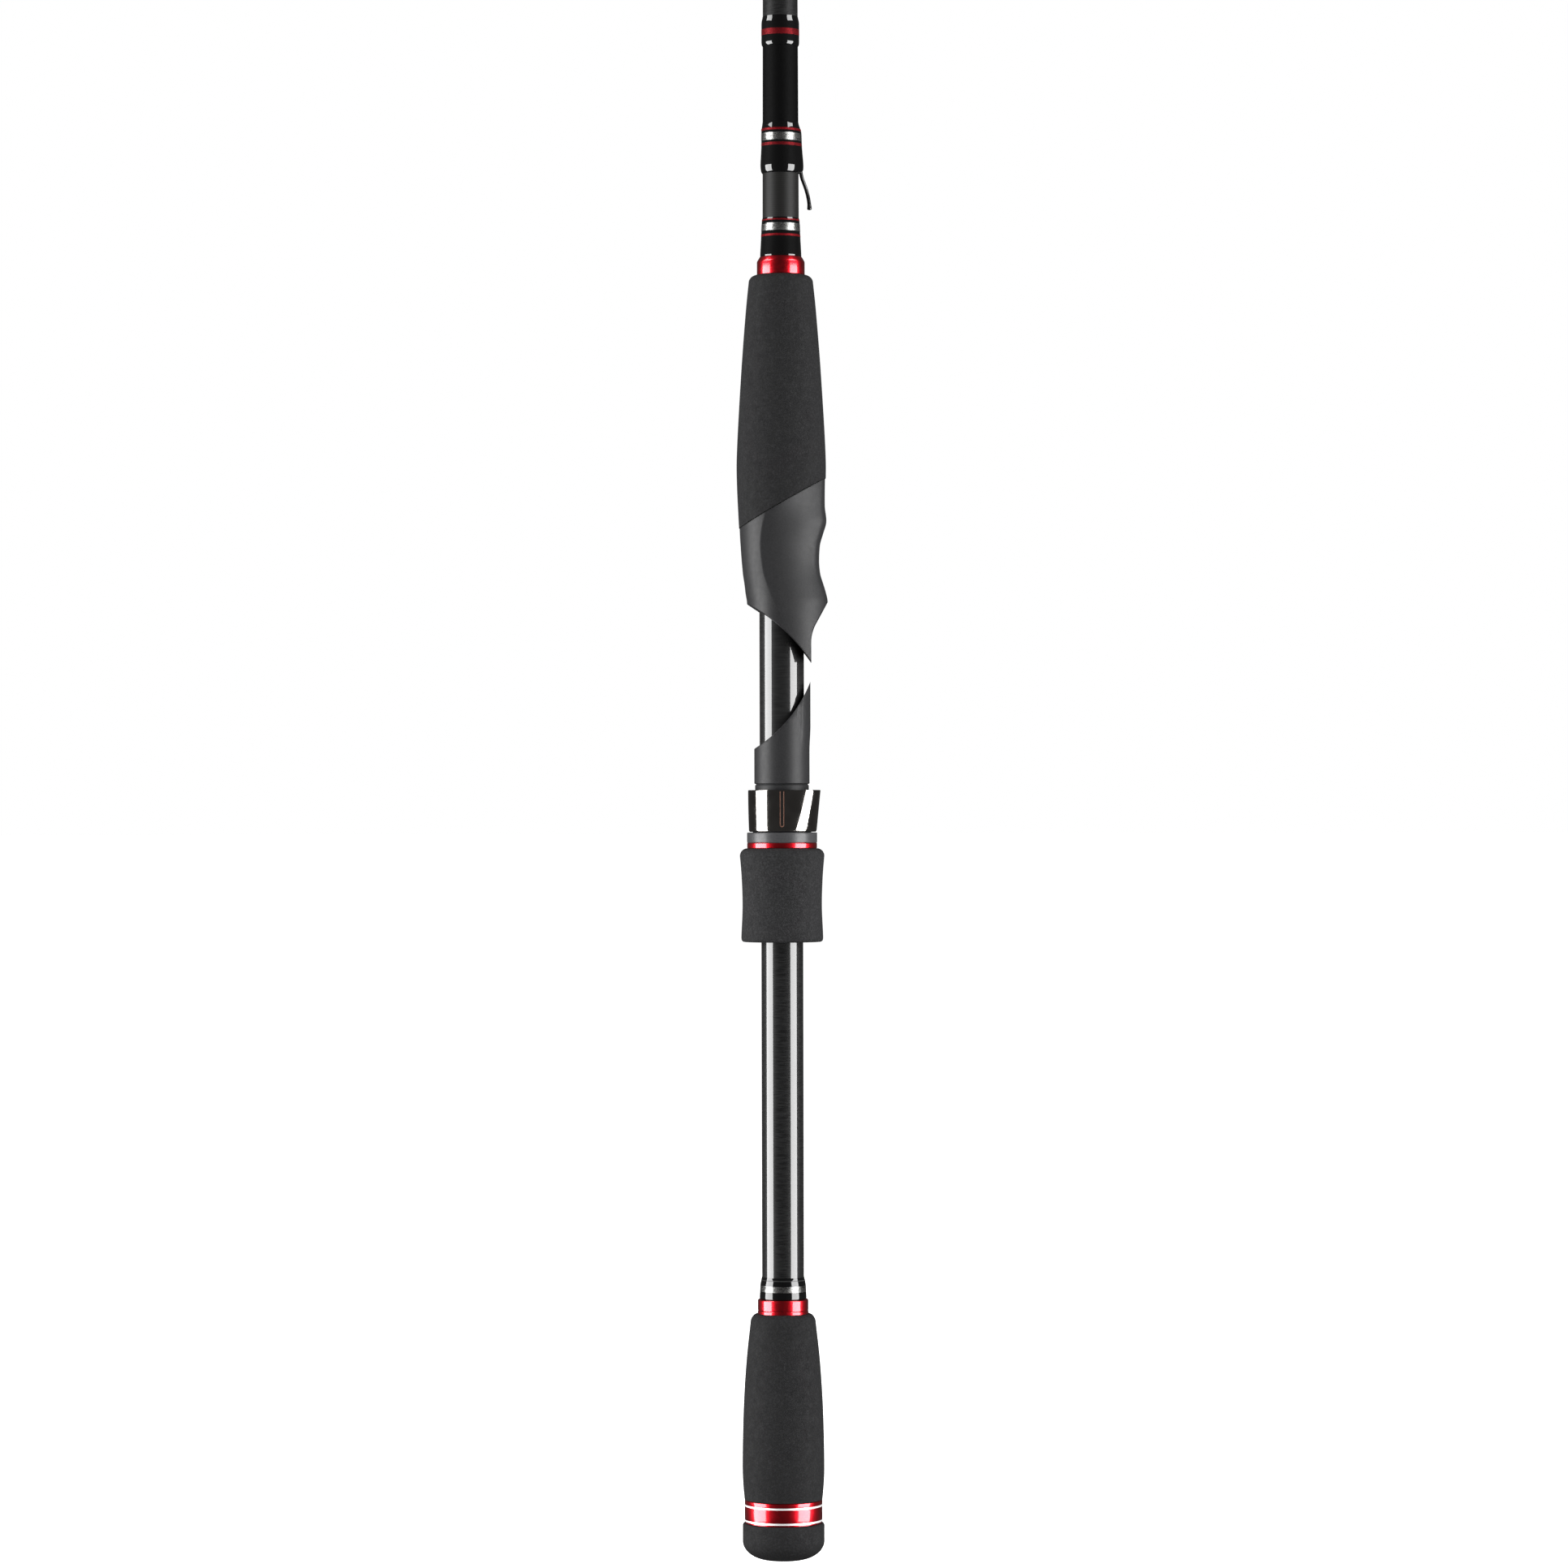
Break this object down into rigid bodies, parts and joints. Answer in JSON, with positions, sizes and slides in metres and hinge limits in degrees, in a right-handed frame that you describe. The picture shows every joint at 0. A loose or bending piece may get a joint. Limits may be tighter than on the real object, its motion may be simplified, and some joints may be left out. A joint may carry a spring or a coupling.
{
  "type": "spinning rod",
  "caption": "Two-piece spinning rod with split foam handle, screw-locked reel seat, hook keeper and ceramic-ring line guides; no reel fitted.",
  "frame": {"origin": "centre of the butt end", "axes": "+Z along the rod to the tip, +X towards the reel foot and the line guides"},
  "size_m": [0.0571, 0.0304, 1.98],
  "materials": {
    "eva_foam": "matt closed-cell EVA foam, ground smooth",
    "red_anodised": "turned aluminium, bright red anodised",
    "thread_wrap": "nylon thread under clear gloss epoxy",
    "blank": "rolled graphite and glass, clear coated",
    "carbon_tube": "woven carbon, clear gloss coat",
    "shim_tape": "wound tape",
    "seat_moulding": "graphite-filled nylon, soft satin",
    "black_plastic": "moulded plastic",
    "hood_metal": "stainless steel, dark bright plating",
    "guide_frame": "stainless steel, black coated",
    "ceramic": "polished dark ceramic"
  },
  "bodies": {
    "rod": {"butt_cap": "eva_foam", "butt_plug": "black_plastic", "butt_ring": "red_anodised", "rear_grip": "eva_foam", "rear_winding_check": "red_anodised", "rear_trim_wrap": "thread_wrap", "butt_blank": "blank", "seat_tube": "carbon_tube", "seat_shim": "shim_tape", "rear_seat": "seat_moulding", "front_seat": "seat_moulding", "fore_grip": "eva_foam", "fore_winding_check": "red_anodised", "fore_trim_wrap": "thread_wrap", "hook_keeper": "guide_frame", "keeper_wrap": "thread_wrap", "top_wrap": "thread_wrap", "ferrule_rear_wrap": "thread_wrap", "guide_1_frame": "guide_frame", "guide_1_ring": "ceramic", "guide_1_wraps": "thread_wrap"},
    "sliding_hood": {"hood_shell": "hood_metal", "hood_liner": "black_plastic"},
    "lock_nut": {"nut_core": "black_plastic", "nut_ring": "red_anodised", "nut_grip": "eva_foam"},
    "tip_section": {"tip_blank": "blank", "ferrule_front_wrap": "thread_wrap", "guide_2_frame": "guide_frame", "guide_2_ring": "ceramic", "guide_2_wraps": "thread_wrap", "guide_3_frame": "guide_frame", "guide_3_ring": "ceramic", "guide_3_wrap": "thread_wrap", "guide_4_frame": "guide_frame", "guide_4_ring": "ceramic", "guide_4_wrap": "thread_wrap", "guide_5_frame": "guide_frame", "guide_5_ring": "ceramic", "guide_5_wrap": "thread_wrap", "guide_6_frame": "guide_frame", "guide_6_ring": "ceramic", "guide_6_wrap": "thread_wrap", "tip_top_frame": "guide_frame", "tip_top_ring": "ceramic", "tip_top_wrap": "thread_wrap"}
  },
  "joints": [
    {"name": "hood_slide", "type": "slide", "parent": "rod", "child": "sliding_hood", "axis": [0, 0, -1], "range_m": [0, 0.014]},
    {"name": "nut_turn", "type": "hinge", "parent": "sliding_hood", "child": "lock_nut", "pos_m": [0, 0, 0.23], "axis": [0, 0, -1], "range_deg": [0, 2520]},
    {"name": "ferrule_slide", "type": "slide", "parent": "rod", "child": "tip_section", "axis": [0, 0, 1], "range_m": [0, 0.07]}
  ],
  "couplings": [
    {"joint": "hood_slide", "follows": "nut_turn", "m_per_rad": 0.00031831}
  ]
}
